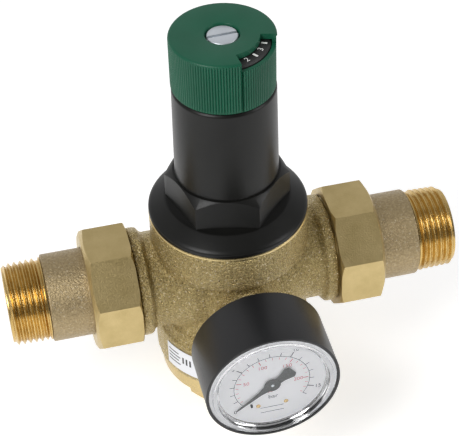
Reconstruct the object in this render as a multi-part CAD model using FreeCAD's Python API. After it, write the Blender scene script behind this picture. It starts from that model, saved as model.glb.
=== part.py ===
import FreeCAD, Part
import math
import os

from FreeCAD import Placement, Rotation, Vector

# Pressure reducing valve for a one inch pipe.  The origin is where the pipe
# axis (X) crosses the bonnet axis (Z).  All sizes are in millimetres.

UP = Vector(0, 0, 1)
DOWN = Vector(0, 0, -1)
RIGHT = Vector(1, 0, 0)
LEFT = Vector(-1, 0, 0)
FRONT = Vector(0, -1, 0)
BACK = Vector(0, 1, 0)
ORIGIN = Vector(0, 0, 0)

# Clearances
RUNNING_GAP = 0.06      # radial gap of a shaft that turns or slides in its hole
FREE_GAP = 0.3          # gap between faces that move past each other
SEAT_GAP = 0.1          # gap between flat faces that turn on each other

# Pipe line, measured outwards from the valve axis along X
PIPE_BORE_R = 13.0
NECK_R = 19.2
COLLAR_R = 20.95        # G 1 1/4 thread on the body, major radius
COLLAR_START = 36.5
BODY_END = 50.0
WASHER_END = 52.0
TAIL_COLLAR_R = 19.5
TAIL_COLLAR_END = 55.2
TAIL_R = 17.4
TAIL_THREAD_R = 16.62   # R 1 thread, major radius
TAIL_THREAD_START = 74.5
LINE_END = 90.0
NUT_FLATS = 47.2
NUT_START = 39.9
NUT_WALL_START = 55.4
NUT_END = 58.3

# Cast body, measured up from the pipe axis
BODY_BASE_Z = -40.0
BODY_TOP_Z = 32.0
BAND_R = 31.2
BAND_TOP_Z = -23.0
WAIST_R = 24.2
WAIST_LOW_Z = -11.0
WAIST_HIGH_Z = 12.0
RING_R = 31.0
RING_LOW_Z = 16.0
BOSS_R = 11.5
BOSS_END = 31.0         # distance of a gauge boss's face from the valve axis
PORT_R = 6.58           # G 1/4 thread, major radius
PORT_DEPTH = 10.0
CHAMBER_R = 18.0
CHAMBER_WALL = 4.0
WEB_HALF = 3.0          # half thickness of the wall that holds the insert
WEB_HOLE_R = 14.0
BOWL_BORE_R = 24.0
BOWL_BORE_TOP_Z = -25.0
RECESS_R = 27.0
RECESS_FLOOR_Z = 20.0

# Diaphragm and stem
DIAPHRAGM_THICK = 2.0
SLIP_RING_THICK = 2.0
CLAMP_INNER_R = 20.5
STEM_R = 4.0
STEM_TIP_R = 3.0
PISTON_R = 6.0
PISTON_Z = (8.0, 16.0)
VALVE_LIFT = 3.0

# Bonnet
FLANGE_R = 30.9
FLANGE_TOP_Z = 35.0
FLANGE_NECK_R = 24.4
FLANGE_NECK_Z = 38.4
WRENCH_FLATS = 41.6
WRENCH_TOP_Z = 51.6
WRENCH_BEVEL = 3.6
WRENCH_TURN = -13.0     # direction of one corner, in degrees
TUBE_FOOT_R = 19.9
TUBE_HEAD_R = 19.4
TUBE_TOP_Z = 91.6
TUBE_BORE_R = 16.4
TUBE_ROOF_Z = 86.0
KEY_WIDTH = 2.6
KEY_DEPTH = 1.5

# Knob and setting dial
KNOB_R = 19.6
KNOB_BASE_Z = 92.0
KNOB_TOP_Z = 113.5
KNOB_WALL_R = 17.6      # inside of the skirt
KNOB_ROOF_Z = 111.2
KNOB_HUB_R = 8.0
KNOB_HUB_BASE_Z = 97.0
KNOB_FLOOR_Z = 107.7
KNOB_RECESS_R = 6.4
WINDOW_FROM = -83.0     # degrees
WINDOW_TO = -16.0
WINDOW_INNER_R = 13.5
WINDOW_SILL_Z = 109.6
CARRIER_Z = (104.0, 106.0)
DIAL_TOP_Z = 110.9
SCREW_HEAD_R = 5.75
SCREW_TOP_Z = 113.1
SCREW_R = 2.5
SLOT_WIDTH = 1.2
SLOT_DEPTH = 1.4

# Spindle and spring
SPINDLE_R = 4.0
SPINDLE_FOOT_Z = 52.0
THRUST_Z = 84.0
SPRING_BASE_Z = 24.0
SPRING_TOP_Z = 70.0
SPRING_R = 12.0
SPRING_WIRE_R = 1.6
SPRING_TURNS = 6
SPRING_PLATE_THICK = 4.0

# Filter bowl
BOWL_RIM_R = 29.4
BOWL_RIM_LOW_Z = -47.5
BOWL_FOOT_FLATS = 40.6
BOWL_FOOT_Z = -54.0
BOWL_BOTTOM_Z = -63.0
BOWL_INNER_R = 18.5
BOWL_THREAD_TOP_Z = -28.0
BOWL_THREAD_R = BOWL_BORE_R - 0.1
SEAL_GROOVE_Z = -38.0
FILTER_R = 17.5
FILTER_TOP_Z = -23.0
FILTER_BOTTOM_Z = -59.6
FILTER_POSTS = 6

# Gauge, measured forwards from the valve axis along -Y
GAUGE_Z = 0.4
GAUGE_R = 25.7
GAUGE_BACK = 42.8
GAUGE_WALL = 1.2
GAUGE_RIM = 69.0
GAUGE_FRONT = 69.9
GAUGE_DIAL_FRONT = 66.2
SHANK_FLATS = 14.0
SEAL_THICK = 2.0
POINTER_ANGLE = 218.0   # degrees, seen from the front, at zero pressure
POINTER_LENGTH = 17.7
POINTER_TAIL = 10.0
POINTER_HUB_R = 3.2
SECTOR_PIVOT_DROP = 12.0
SECTOR_SWEEP = 44.0
SECTOR_LEAN = 12.8      # lean of the sector at zero pressure, in degrees
PINION_R = 1.6
PINION_SHAFT_R = 0.6

GAUGE_CENTRE = Vector(0, 0, GAUGE_Z)


def placed(shape, toward=UP, at=ORIGIN):
    """Turn a shape that was drawn along +Z so that it runs along another way."""
    shape = shape.copy()
    shape.Placement = Placement(at, Rotation(UP, toward))
    return shape


def turned(outline, toward=UP, at=ORIGIN, sweep=360, start=0):
    """Revolve an outline of (radius, height) points about its own axis."""
    points = [Vector(radius, 0, height) for radius, height in outline]
    face = Part.Face(Part.makePolygon(points + points[:1]))
    solid = face.revolve(ORIGIN, UP, sweep)
    solid.rotate(ORIGIN, UP, start)
    return placed(solid, toward, at)


def tube(outer, inner, low, high, toward=UP, at=ORIGIN):
    """Ring or tube between two heights."""
    outline = [(inner, low), (outer, low), (outer, high), (inner, high)]
    return turned(outline, toward, at)


def rod(radius, low, high, toward=UP, at=ORIGIN):
    return tube(radius, 0, low, high, toward, at)


def prism(flats, sides, low, high, toward=UP, at=ORIGIN, corner=None):
    """Regular prism with a given width across its flats."""
    step = 360.0 / sides
    first = step / 2 if corner is None else corner
    radius = flats / 2 / math.cos(math.radians(step / 2))
    points = []
    for index in range(sides):
        angle = math.radians(first + index * step)
        points.append(Vector(radius * math.cos(angle), radius * math.sin(angle), low))
    face = Part.Face(Part.makePolygon(points + points[:1]))
    return placed(face.extrude(Vector(0, 0, high - low)), toward, at)


def block(width, depth, low, high, at=ORIGIN, turn=0):
    """Upright box centred on its axis."""
    box = Part.makeBox(width, depth, high - low, Vector(-width / 2, -depth / 2, low))
    box.rotate(ORIGIN, UP, turn)
    box.translate(at)
    return box


def seal_ring(radius, section, height):
    """O-ring lying flat at a height."""
    return Part.makeTorus(radius, section, Vector(0, 0, height), UP)


def turned_copies(shape, count, start=0):
    copies = []
    for index in range(count):
        copy = shape.copy()
        copy.rotate(ORIGIN, UP, start + index * 360.0 / count)
        copies.append(copy)
    return copies


def front_point(angle, radius):
    """Point on the gauge's face, seen from the front, as X and Z about its centre."""
    return (radius * math.cos(math.radians(angle)), radius * math.sin(math.radians(angle)))


# Body ----------------------------------------------------------------------

def pipe_passage(toward, below):
    """Bore from a pipe end that opens only above or only below the web."""
    wall = CHAMBER_R + CHAMBER_WALL
    passage = rod(PIPE_BORE_R, wall, BODY_END + 1, toward)
    reach = rod(PIPE_BORE_R, 0, wall + 1, toward)
    half = block(80, 80, -30, -WEB_HALF) if below else block(80, 80, WEB_HALF, 30)
    return passage.fuse(reach.common(half))


def body_cavity():
    """Everything that is hollow inside the body, as one shape."""
    cavity = rod(BOWL_BORE_R, BODY_BASE_Z - 1, BOWL_BORE_TOP_Z)
    cavity = cavity.fuse(rod(CHAMBER_R, BOWL_BORE_TOP_Z - 1, -WEB_HALF))
    cavity = cavity.fuse(rod(WEB_HOLE_R, -WEB_HALF - 1, WEB_HALF + 1))
    cavity = cavity.fuse(rod(CHAMBER_R, WEB_HALF, RECESS_FLOOR_Z + 1))
    cavity = cavity.fuse(rod(RECESS_R, RECESS_FLOOR_Z, BODY_TOP_Z + 1))
    for toward, below in ((LEFT, True), (RIGHT, False)):
        cavity = cavity.fuse(pipe_passage(toward, below))
    sensing_hole = Vector(0, 0, WEB_HALF + 2)
    for toward in (FRONT, BACK):
        port = rod(PORT_R + RUNNING_GAP, BOSS_END - PORT_DEPTH, BOSS_END + 1, toward, GAUGE_CENTRE)
        drilling = rod(1.5, CHAMBER_R - 2, BOSS_END - PORT_DEPTH + 1, toward, sensing_hole)
        cavity = cavity.fuse(port).fuse(drilling)
    return cavity


def valve_body():
    """Cast body: lower band with two steps, waist, upper ring, necks and bosses."""
    outline = [
        (0, BODY_BASE_Z),
        (BAND_R - 0.9, BODY_BASE_Z),
        (BAND_R - 0.3, BODY_BASE_Z + 0.8),
        (BAND_R, BAND_TOP_Z),
        (BAND_R - 1.6, BAND_TOP_Z + 1.2),
        (BAND_R - 2.6, BAND_TOP_Z + 4.6),
        (BAND_R - 4.4, BAND_TOP_Z + 5.8),
        (WAIST_R, WAIST_LOW_Z),
        (WAIST_R, WAIST_HIGH_Z),
        (RING_R - 2.5, RING_LOW_Z - 1.0),
        (RING_R - 0.2, RING_LOW_Z + 0.8),
        (RING_R, BODY_TOP_Z - 0.8),
        (RING_R - 0.7, BODY_TOP_Z),
        (0, BODY_TOP_Z),
    ]
    body = turned(outline)
    neck = [
        (0, 0),
        (NECK_R, 0),
        (NECK_R, COLLAR_START - 1.0),
        (COLLAR_R - 0.5, COLLAR_START),
        (COLLAR_R, COLLAR_START + 1.0),
        (COLLAR_R, BODY_END - 1.0),
        (COLLAR_R - 1.0, BODY_END),
        (0, BODY_END),
    ]
    boss = [(0, 0), (BOSS_R, 0), (BOSS_R, BOSS_END - 1), (BOSS_R - 1, BOSS_END), (0, BOSS_END)]
    for toward in (LEFT, RIGHT):
        body = body.fuse(turned(neck, toward))
    for toward in (FRONT, BACK):
        body = body.fuse(turned(boss, toward, GAUGE_CENTRE))
    return body.cut(body_cavity())


def label():
    """Thin plain label that wraps part of the lower band."""
    low, high = BODY_BASE_Z + 3, BAND_TOP_Z - 1.5
    slope = 0.3 / (BAND_TOP_Z - BODY_BASE_Z - 0.8)
    foot = BAND_R - slope * (BAND_TOP_Z - low) + 0.05
    head = BAND_R - slope * (BAND_TOP_Z - high) + 0.05
    outline = [(foot, low), (foot + 0.15, low), (head + 0.15, high), (head, high)]
    return turned(outline, sweep=30, start=-159)


# Pipe unions ---------------------------------------------------------------

def union_tail(toward):
    """Union tail: collar held by the nut, plain tube, male pipe thread."""
    outline = [
        (PIPE_BORE_R, WASHER_END),
        (TAIL_COLLAR_R, WASHER_END),
        (TAIL_COLLAR_R, TAIL_COLLAR_END),
        (TAIL_R, TAIL_COLLAR_END),
        (TAIL_R, TAIL_THREAD_START),
        (TAIL_THREAD_R, TAIL_THREAD_START),
        (TAIL_THREAD_R, LINE_END),
        (PIPE_BORE_R, LINE_END),
    ]
    return turned(outline, toward)


def union_nut(toward):
    """Octagonal nut that pulls the tail's collar against the body."""
    nut = prism(NUT_FLATS, 8, NUT_START, NUT_END, toward)
    corner_r = NUT_FLATS / 2 / math.cos(math.pi / 8)
    bevel = [
        (0, NUT_START),
        (corner_r - 1.2, NUT_START),
        (corner_r, NUT_START + 0.8),
        (corner_r, NUT_END - 2.4),
        (corner_r - 3.2, NUT_END),
        (0, NUT_END),
    ]
    nut = nut.common(turned(bevel, toward))
    nut = nut.cut(rod(COLLAR_R + RUNNING_GAP, NUT_START - 1, NUT_WALL_START, toward))
    return nut.cut(rod(TAIL_R + FREE_GAP, NUT_START, NUT_END + 1, toward))


def union_washer(toward):
    return tube(TAIL_COLLAR_R, PIPE_BORE_R + 0.3, BODY_END, WASHER_END, toward)


# Bonnet and diaphragm ------------------------------------------------------

def bonnet():
    """Spring bonnet: threaded skirt, flange, wrench collar, tube with two keys."""
    skirt_low = RECESS_FLOOR_Z + DIAPHRAGM_THICK + SLIP_RING_THICK
    outline = [
        (0, skirt_low),
        (RECESS_R - 0.05, skirt_low),
        (RECESS_R - 0.05, BODY_TOP_Z),
        (FLANGE_R, BODY_TOP_Z),
        (FLANGE_R, FLANGE_TOP_Z - 0.8),
        (FLANGE_R - 0.8, FLANGE_TOP_Z),
        (FLANGE_NECK_R, FLANGE_NECK_Z),
        (TUBE_FOOT_R, FLANGE_NECK_Z),
        (TUBE_HEAD_R, TUBE_TOP_Z - 0.6),
        (TUBE_HEAD_R - 0.6, TUBE_TOP_Z),
        (15.0, TUBE_TOP_Z),
        (15.0, TUBE_TOP_Z + 3.9),
        (0, TUBE_TOP_Z + 3.9),
    ]
    wrench = prism(WRENCH_FLATS, 6, FLANGE_TOP_Z - 1, WRENCH_TOP_Z, corner=WRENCH_TURN)
    corner_r = WRENCH_FLATS / 2 / math.cos(math.pi / 6)
    bevel = [
        (0, FLANGE_TOP_Z - 1),
        (corner_r, FLANGE_TOP_Z - 1),
        (corner_r, WRENCH_TOP_Z - WRENCH_BEVEL),
        (TUBE_FOOT_R + 0.8, WRENCH_TOP_Z),
        (0, WRENCH_TOP_Z),
    ]
    shell = turned(outline).fuse(wrench.common(turned(bevel)))
    bore = rod(TUBE_BORE_R, skirt_low - 1, TUBE_ROOF_Z)
    bore = bore.fuse(rod(CLAMP_INNER_R, skirt_low - 1, FLANGE_TOP_Z))
    for key in turned_copies(key_bar(KEY_WIDTH, FLANGE_TOP_Z + 10, TUBE_ROOF_Z), 2):
        bore = bore.cut(key)
    return shell.cut(bore).cut(rod(SPINDLE_R + RUNNING_GAP, TUBE_ROOF_Z - 1, TUBE_TOP_Z + 5))


def key_bar(width, low, high):
    """Bar along the bonnet's bore that stops the spring plate from turning."""
    depth = KEY_DEPTH + 1
    return block(depth, width, low, high, Vector(TUBE_BORE_R - KEY_DEPTH + depth / 2, 0, 0))


def slip_ring():
    low = RECESS_FLOOR_Z + DIAPHRAGM_THICK
    return tube(RECESS_R - 0.2, CLAMP_INNER_R, low, low + SLIP_RING_THICK)


def diaphragm():
    return tube(RECESS_R - 0.2, STEM_TIP_R + 0.05, RECESS_FLOOR_Z, RECESS_FLOOR_Z + DIAPHRAGM_THICK)


# Valve insert and stem -----------------------------------------------------

def insert_cage():
    """Cage in the web: outer ring, four posts and the guide for the piston."""
    outer = WEB_HOLE_R - 0.1
    low, high = PISTON_Z[0] + 1, PISTON_Z[1] - 2
    ring = [
        (11.0, -WEB_HALF),
        (outer, -WEB_HALF),
        (outer, -1.1),
        (outer - 1.7, -1.1),
        (outer - 1.7, 1.1),
        (outer, 1.1),
        (outer, WEB_HALF),
        (11.0, WEB_HALF),
    ]
    cage = turned(ring)
    cage = cage.fuse(tube(10.0, PISTON_R + RUNNING_GAP, low, high))
    post = block(2.6, 3.0, WEB_HALF - 0.5, high, Vector(12.4, 0, 0))
    arm = block(4.0, 3.0, low, high, Vector(11.4, 0, 0))
    for piece in turned_copies(post, 4, 45) + turned_copies(arm, 4, 45):
        cage = cage.fuse(piece)
    return cage


def seat_ring():
    return tube(10.9, 9.0, -WEB_HALF, WEB_HALF - 0.6)


def insert_o_ring():
    return seal_ring(WEB_HOLE_R - 0.95, 0.8, 0)


def valve_stem():
    """Stem with the balancing piston and the groove for its seal."""
    middle = sum(PISTON_Z) / 2
    outline = [
        (0, -16.0),
        (STEM_TIP_R, -16.0),
        (STEM_TIP_R, -6.1),
        (STEM_R, -6.1),
        (STEM_R, PISTON_Z[0]),
        (PISTON_R, PISTON_Z[0]),
        (PISTON_R, middle - 0.9),
        (PISTON_R - 1.6, middle - 0.9),
        (PISTON_R - 1.6, middle + 0.9),
        (PISTON_R, middle + 0.9),
        (PISTON_R, PISTON_Z[1]),
        (STEM_TIP_R, PISTON_Z[1]),
        (STEM_TIP_R, 30.0),
        (0, 30.0),
    ]
    return turned(outline)


def piston_o_ring():
    return seal_ring(PISTON_R - 0.8, 0.7, sum(PISTON_Z) / 2)


def valve_disc_holder():
    """Dished disc under the seat that carries the valve seal."""
    outline = [
        (STEM_TIP_R + 0.05, -15.0),
        (9.0, -15.0),
        (12.6, -12.5),
        (12.6, -7.5),
        (12.05, -7.5),
        (12.05, -9.3),
        (STEM_TIP_R + 0.05, -9.3),
    ]
    return turned(outline)


def valve_seal():
    return tube(12.0, STEM_TIP_R + 0.05, -9.3, -WEB_HALF - VALVE_LIFT - 0.1)


def diaphragm_plate():
    return tube(15.0, STEM_TIP_R + 0.05, RECESS_FLOOR_Z - 2.5, RECESS_FLOOR_Z)


def diaphragm_washer():
    low = RECESS_FLOOR_Z + DIAPHRAGM_THICK
    return tube(15.8, STEM_TIP_R + 0.05, low, SPRING_BASE_Z)


def stem_nut():
    nut = prism(9.0, 6, SPRING_BASE_Z, SPRING_BASE_Z + 4)
    return nut.cut(rod(STEM_TIP_R + 0.05, SPRING_BASE_Z - 1, SPRING_BASE_Z + 5))


# Spring, spindle and knob --------------------------------------------------

def adjusting_spring():
    """Helical compression spring between the washer and the spring plate."""
    low = SPRING_BASE_Z + SPRING_WIRE_R + 0.05
    high = SPRING_TOP_Z - SPRING_WIRE_R - 0.05
    height = high - low
    helix = Part.makeHelix(height / SPRING_TURNS, height, SPRING_R)
    section = Part.Wire(Part.makeCircle(SPRING_WIRE_R, Vector(SPRING_R, 0, 0), BACK))
    coil = Part.Wire(helix).makePipeShell([section], True, True)
    coil.translate(Vector(0, 0, low))
    return Part.Solid(coil) if coil.ShapeType == "Shell" else coil


def spring_plate():
    """Nut plate on the spindle, kept from turning by the bonnet's keys."""
    plate = tube(TUBE_BORE_R - 0.4, SPINDLE_R + RUNNING_GAP, SPRING_TOP_Z, SPRING_TOP_Z + SPRING_PLATE_THICK)
    plate = plate.fuse(tube(7.0, SPINDLE_R + RUNNING_GAP, SPRING_TOP_Z - 4, SPRING_TOP_Z + 0.5))
    slot = block(8, KEY_WIDTH + 1, SPRING_TOP_Z - 1, SPRING_TOP_Z + 5)
    slot.translate(Vector(TUBE_BORE_R - KEY_DEPTH - 0.5 + 4, 0, 0))
    for cutter in turned_copies(slot, 2):
        plate = plate.cut(cutter)
    return plate


def spindle():
    """Screwed spindle with a thrust collar and a tapped head for the knob screw."""
    head_z = KNOB_FLOOR_Z - 0.2
    tapped_r = SCREW_R + RUNNING_GAP
    outline = [
        (0, SPINDLE_FOOT_Z),
        (SPINDLE_R - 0.6, SPINDLE_FOOT_Z),
        (SPINDLE_R, SPINDLE_FOOT_Z + 0.6),
        (SPINDLE_R, THRUST_Z - 2 - SEAT_GAP),
        (8.0, THRUST_Z - 2 - SEAT_GAP),
        (8.0, THRUST_Z - SEAT_GAP),
        (SPINDLE_R, THRUST_Z - SEAT_GAP),
        (SPINDLE_R, head_z),
        (tapped_r, head_z),
        (tapped_r, KNOB_HUB_BASE_Z - 1),
        (0, KNOB_HUB_BASE_Z - 1),
    ]
    return turned(outline)


def thrust_washer():
    return tube(9.5, SPINDLE_R + RUNNING_GAP, THRUST_Z, TUBE_ROOF_Z)


def adjusting_knob():
    """Cup-shaped knob: skirt, roof, central hub, and a window over the dial."""
    outline = [
        (SPINDLE_R + 0.05, KNOB_HUB_BASE_Z),
        (KNOB_HUB_R, KNOB_HUB_BASE_Z),
        (KNOB_HUB_R, KNOB_ROOF_Z),
        (KNOB_WALL_R, KNOB_ROOF_Z),
        (KNOB_WALL_R, KNOB_BASE_Z),
        (KNOB_R, KNOB_BASE_Z),
        (KNOB_R, KNOB_TOP_Z - 0.6),
        (KNOB_R - 0.6, KNOB_TOP_Z),
        (KNOB_RECESS_R, KNOB_TOP_Z),
        (KNOB_RECESS_R, KNOB_FLOOR_Z),
        (SPINDLE_R + 0.05, KNOB_FLOOR_Z),
    ]
    window = [
        (WINDOW_INNER_R, WINDOW_SILL_Z),
        (KNOB_R + 2, WINDOW_SILL_Z),
        (KNOB_R + 2, KNOB_TOP_Z + 1),
        (WINDOW_INNER_R, KNOB_TOP_Z + 1),
    ]
    sweep = WINDOW_TO - WINDOW_FROM
    return turned(outline).cut(turned(window, sweep=sweep, start=WINDOW_FROM))


def dial_carrier():
    """Ring in the knob that carries the setting dial and its reduction gear."""
    return tube(KNOB_WALL_R - 0.05, KNOB_HUB_R + 0.05, *CARRIER_Z)


def setting_dial():
    low = CARRIER_Z[1] + FREE_GAP
    outline = [
        (KNOB_HUB_R + FREE_GAP, low),
        (KNOB_WALL_R - FREE_GAP, low),
        (KNOB_WALL_R - FREE_GAP, DIAL_TOP_Z - 0.5),
        (KNOB_WALL_R - FREE_GAP - 0.5, DIAL_TOP_Z),
        (KNOB_HUB_R + FREE_GAP, DIAL_TOP_Z),
    ]
    return turned(outline)


def knob_screw():
    """Slotted screw that locks the knob on the spindle."""
    head_z = KNOB_FLOOR_Z + SEAT_GAP
    outline = [
        (0, KNOB_HUB_BASE_Z),
        (SCREW_R, KNOB_HUB_BASE_Z),
        (SCREW_R, head_z),
        (SCREW_HEAD_R, head_z),
        (SCREW_HEAD_R, SCREW_TOP_Z - 0.4),
        (SCREW_HEAD_R - 0.4, SCREW_TOP_Z),
        (0, SCREW_TOP_Z),
    ]
    slot = block(3 * SCREW_HEAD_R, SLOT_WIDTH, SCREW_TOP_Z - SLOT_DEPTH, SCREW_TOP_Z + 1, turn=3)
    return turned(outline).cut(slot)


# Filter bowl ---------------------------------------------------------------

def filter_bowl():
    """Screwed bowl with a seal groove, a turned rim and an octagonal foot."""
    outline = [
        (0, BOWL_FOOT_Z + 1),
        (18.0, BOWL_FOOT_Z + 1),
        (BOWL_FOOT_FLATS / 2 + 1.6, BOWL_FOOT_Z + 1),
        (BOWL_RIM_R - 1.2, BOWL_RIM_LOW_Z - 1.2),
        (BOWL_RIM_R, BOWL_RIM_LOW_Z),
        (BOWL_RIM_R, BODY_BASE_Z - SEAT_GAP),
        (BOWL_THREAD_R, BODY_BASE_Z - SEAT_GAP),
        (BOWL_THREAD_R, SEAL_GROOVE_Z - 1.2),
        (BOWL_THREAD_R - 2.1, SEAL_GROOVE_Z - 1.2),
        (BOWL_THREAD_R - 2.1, SEAL_GROOVE_Z + 1.2),
        (BOWL_THREAD_R, SEAL_GROOVE_Z + 1.2),
        (BOWL_THREAD_R, BOWL_THREAD_TOP_Z - 0.8),
        (BOWL_THREAD_R - 0.8, BOWL_THREAD_TOP_Z),
        (0, BOWL_THREAD_TOP_Z),
    ]
    foot = prism(BOWL_FOOT_FLATS, 8, BOWL_BOTTOM_Z, BOWL_FOOT_Z + 1.5)
    corner_r = BOWL_FOOT_FLATS / 2 / math.cos(math.pi / 8)
    bevel = [
        (0, BOWL_BOTTOM_Z),
        (corner_r - 1.6, BOWL_BOTTOM_Z),
        (corner_r, BOWL_BOTTOM_Z + 1.2),
        (corner_r, BOWL_FOOT_Z + 1.5),
        (0, BOWL_FOOT_Z + 1.5),
    ]
    bowl = turned(outline).fuse(foot.common(turned(bevel)))
    return bowl.cut(rod(BOWL_INNER_R, BOWL_BOTTOM_Z + 3, BOWL_THREAD_TOP_Z + 1))


def bowl_o_ring():
    return seal_ring(BOWL_THREAD_R - 1.0, 0.85, SEAL_GROOVE_Z)


def filter_frame():
    """Cage that holds the filter mesh: two rings joined by posts."""
    frame = tube(FILTER_R, FILTER_R - 2.6, FILTER_TOP_Z - 3, FILTER_TOP_Z)
    frame = frame.fuse(tube(FILTER_R - 0.5, FILTER_R - 2.6, FILTER_BOTTOM_Z, FILTER_BOTTOM_Z + 3))
    post = block(1.4, 2.0, FILTER_BOTTOM_Z + 1, FILTER_TOP_Z - 1, Vector(FILTER_R - 1.3, 0, 0))
    for piece in turned_copies(post, FILTER_POSTS):
        frame = frame.fuse(piece)
    return frame


def filter_mesh():
    return tube(FILTER_R - 2.1, FILTER_R - 2.5, FILTER_BOTTOM_Z + 3, FILTER_TOP_Z - 3)


# Gauge ---------------------------------------------------------------------

def gauge_socket():
    """Threaded socket with a square shank and the block that feeds the tube."""
    seal_end = BOSS_END + SEAL_THICK
    thread = rod(PORT_R, BOSS_END - PORT_DEPTH + 1, seal_end, FRONT, GAUGE_CENTRE)
    collar = rod(9.0, seal_end, seal_end + 2, FRONT, GAUGE_CENTRE)
    shank = prism(SHANK_FLATS, 4, seal_end + 1.5, GAUGE_BACK - 0.1, FRONT, GAUGE_CENTRE)
    neck = rod(6.0, GAUGE_BACK - 0.5, GAUGE_BACK + 9.2, FRONT, GAUGE_CENTRE)
    channel = rod(1.5, BOSS_END - PORT_DEPTH, GAUGE_BACK + 6, FRONT, GAUGE_CENTRE)
    return thread.fuse(collar).fuse(shank).fuse(neck).cut(channel)


def port_seal(toward):
    return tube(9.4, PORT_R + 0.1, BOSS_END, BOSS_END + SEAL_THICK, toward, GAUGE_CENTRE)


def rear_plug():
    """Plug with a hexagonal head that closes the rear gauge port."""
    seal_end = BOSS_END + SEAL_THICK
    plug = rod(PORT_R, BOSS_END - PORT_DEPTH + 1, seal_end, BACK, GAUGE_CENTRE)
    plug = plug.fuse(rod(9.4, seal_end, seal_end + 1.5, BACK, GAUGE_CENTRE))
    head = prism(SHANK_FLATS, 6, seal_end + 1.0, seal_end + 6.5, BACK, GAUGE_CENTRE)
    return plug.fuse(head)


def gauge_case():
    """Round case, open at the front, with a stepped rim for the lens."""
    inner = GAUGE_R - GAUGE_WALL
    back_wall = GAUGE_BACK + 1.5
    outline = [
        (6.1, GAUGE_BACK),
        (GAUGE_R - 1.5, GAUGE_BACK),
        (GAUGE_R, GAUGE_BACK + 1.5),
        (GAUGE_R, GAUGE_RIM - 0.5),
        (GAUGE_R - 0.4, GAUGE_RIM),
        (inner, GAUGE_RIM),
        (inner, back_wall),
        (6.1, back_wall),
    ]
    return turned(outline, FRONT, GAUGE_CENTRE)


def gauge_lens():
    """Clear stepped lens whose skirt rests on the edge of the dial."""
    outer = GAUGE_R - GAUGE_WALL - 0.05
    outline = [
        (0, GAUGE_FRONT - 1.5),
        (21.6, GAUGE_FRONT - 1.5),
        (21.6, GAUGE_DIAL_FRONT),
        (outer, GAUGE_DIAL_FRONT),
        (outer, GAUGE_RIM - 0.4),
        (22.9, GAUGE_RIM),
        (22.3, GAUGE_FRONT),
        (0, GAUGE_FRONT),
    ]
    return turned(outline, FRONT, GAUGE_CENTRE)


def gauge_dial():
    outer = GAUGE_R - GAUGE_WALL - 0.1
    return tube(outer, 1.0, GAUGE_DIAL_FRONT - 0.6, GAUGE_DIAL_FRONT, FRONT, GAUGE_CENTRE)


def face_piece(points, low, high):
    """Flat piece parallel to the gauge's face, from X and Z points about its centre."""
    corners = [Vector(x, -low, z + GAUGE_Z) for x, z in points]
    face = Part.Face(Part.makePolygon(corners + corners[:1]))
    return face.extrude(FRONT * (high - low))


def gauge_pointer():
    """Pointer with a flared tail and a round hub."""
    low, high = GAUGE_DIAL_FRONT + 0.6, GAUGE_DIAL_FRONT + 1.1
    half_flare = math.degrees(math.atan2(3.6, POINTER_TAIL))
    back = POINTER_ANGLE + 180
    points = [
        front_point(POINTER_ANGLE + 1.0, POINTER_LENGTH),
        front_point(POINTER_ANGLE + 40, 1.0),
        front_point(back - 25, 3.0),
        front_point(back - half_flare, POINTER_TAIL),
        front_point(back + half_flare, POINTER_TAIL),
        front_point(back + 25, 3.0),
        front_point(POINTER_ANGLE - 40, 1.0),
        front_point(POINTER_ANGLE - 1.0, POINTER_LENGTH),
    ]
    hub = rod(POINTER_HUB_R, low, high + 0.7, FRONT, GAUGE_CENTRE)
    pointer = face_piece(points, low, high).fuse(hub)
    return pointer.cut(rod(PINION_SHAFT_R, low - 1, high, FRONT, GAUGE_CENTRE))


def pinion_shaft():
    shaft = rod(PINION_SHAFT_R, GAUGE_BACK + 9.5, GAUGE_DIAL_FRONT + 1.1, FRONT, GAUGE_CENTRE)
    return shaft.fuse(rod(PINION_R, 55.4, 58.6, FRONT, GAUGE_CENTRE))


def pointer_stop():
    """Pin on the dial that the pointer rests against at zero."""
    x, z = front_point(POINTER_ANGLE + 12, 12.6)
    at = Vector(x, 0, z + GAUGE_Z)
    return rod(0.45, GAUGE_DIAL_FRONT, GAUGE_DIAL_FRONT + 1.5, FRONT, at)


def movement_plates():
    """Two plates joined by pillars that carry the pinion and the sector."""
    half, top, bottom = 6.5, 5.5, -16.0
    points = [(-half, bottom), (half, bottom), (half, top), (-half, top)]
    plates = face_piece(points, GAUGE_BACK + 9.2, GAUGE_BACK + 10.2)
    plates = plates.fuse(face_piece(points, GAUGE_BACK + 17.2, GAUGE_BACK + 18.2))
    for x in (-half + 1.6, half - 1.6):
        at = Vector(x, 0, GAUGE_Z + 3.6)
        plates = plates.fuse(rod(1.2, GAUGE_BACK + 9.2, GAUGE_BACK + 17.5, FRONT, at))
    pivot = Vector(0, 0, GAUGE_Z - SECTOR_PIVOT_DROP)
    plates = plates.cut(rod(PINION_SHAFT_R + 0.05, 50, 62, FRONT, GAUGE_CENTRE))
    return plates.cut(rod(0.85, 50, 62, FRONT, pivot))


def sector_gear():
    """Fan-shaped gear that turns the pinion, on its own arbor."""
    reach = SECTOR_PIVOT_DROP - PINION_R - 0.15
    pivot = Vector(0, 0, GAUGE_Z - SECTOR_PIVOT_DROP)
    arbor = rod(0.8, GAUGE_BACK + 9.4, GAUGE_BACK + 18.0, FRONT, pivot)
    hub = rod(1.8, 55.8, 57.8, FRONT, pivot)
    outline = [(0, 56), (reach, 56), (reach, 57.5), (0, 57.5)]
    start = 90 - SECTOR_LEAN - SECTOR_SWEEP / 2
    fan = turned(outline, FRONT, pivot, SECTOR_SWEEP, start)
    return arbor.fuse(hub).fuse(fan)


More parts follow.
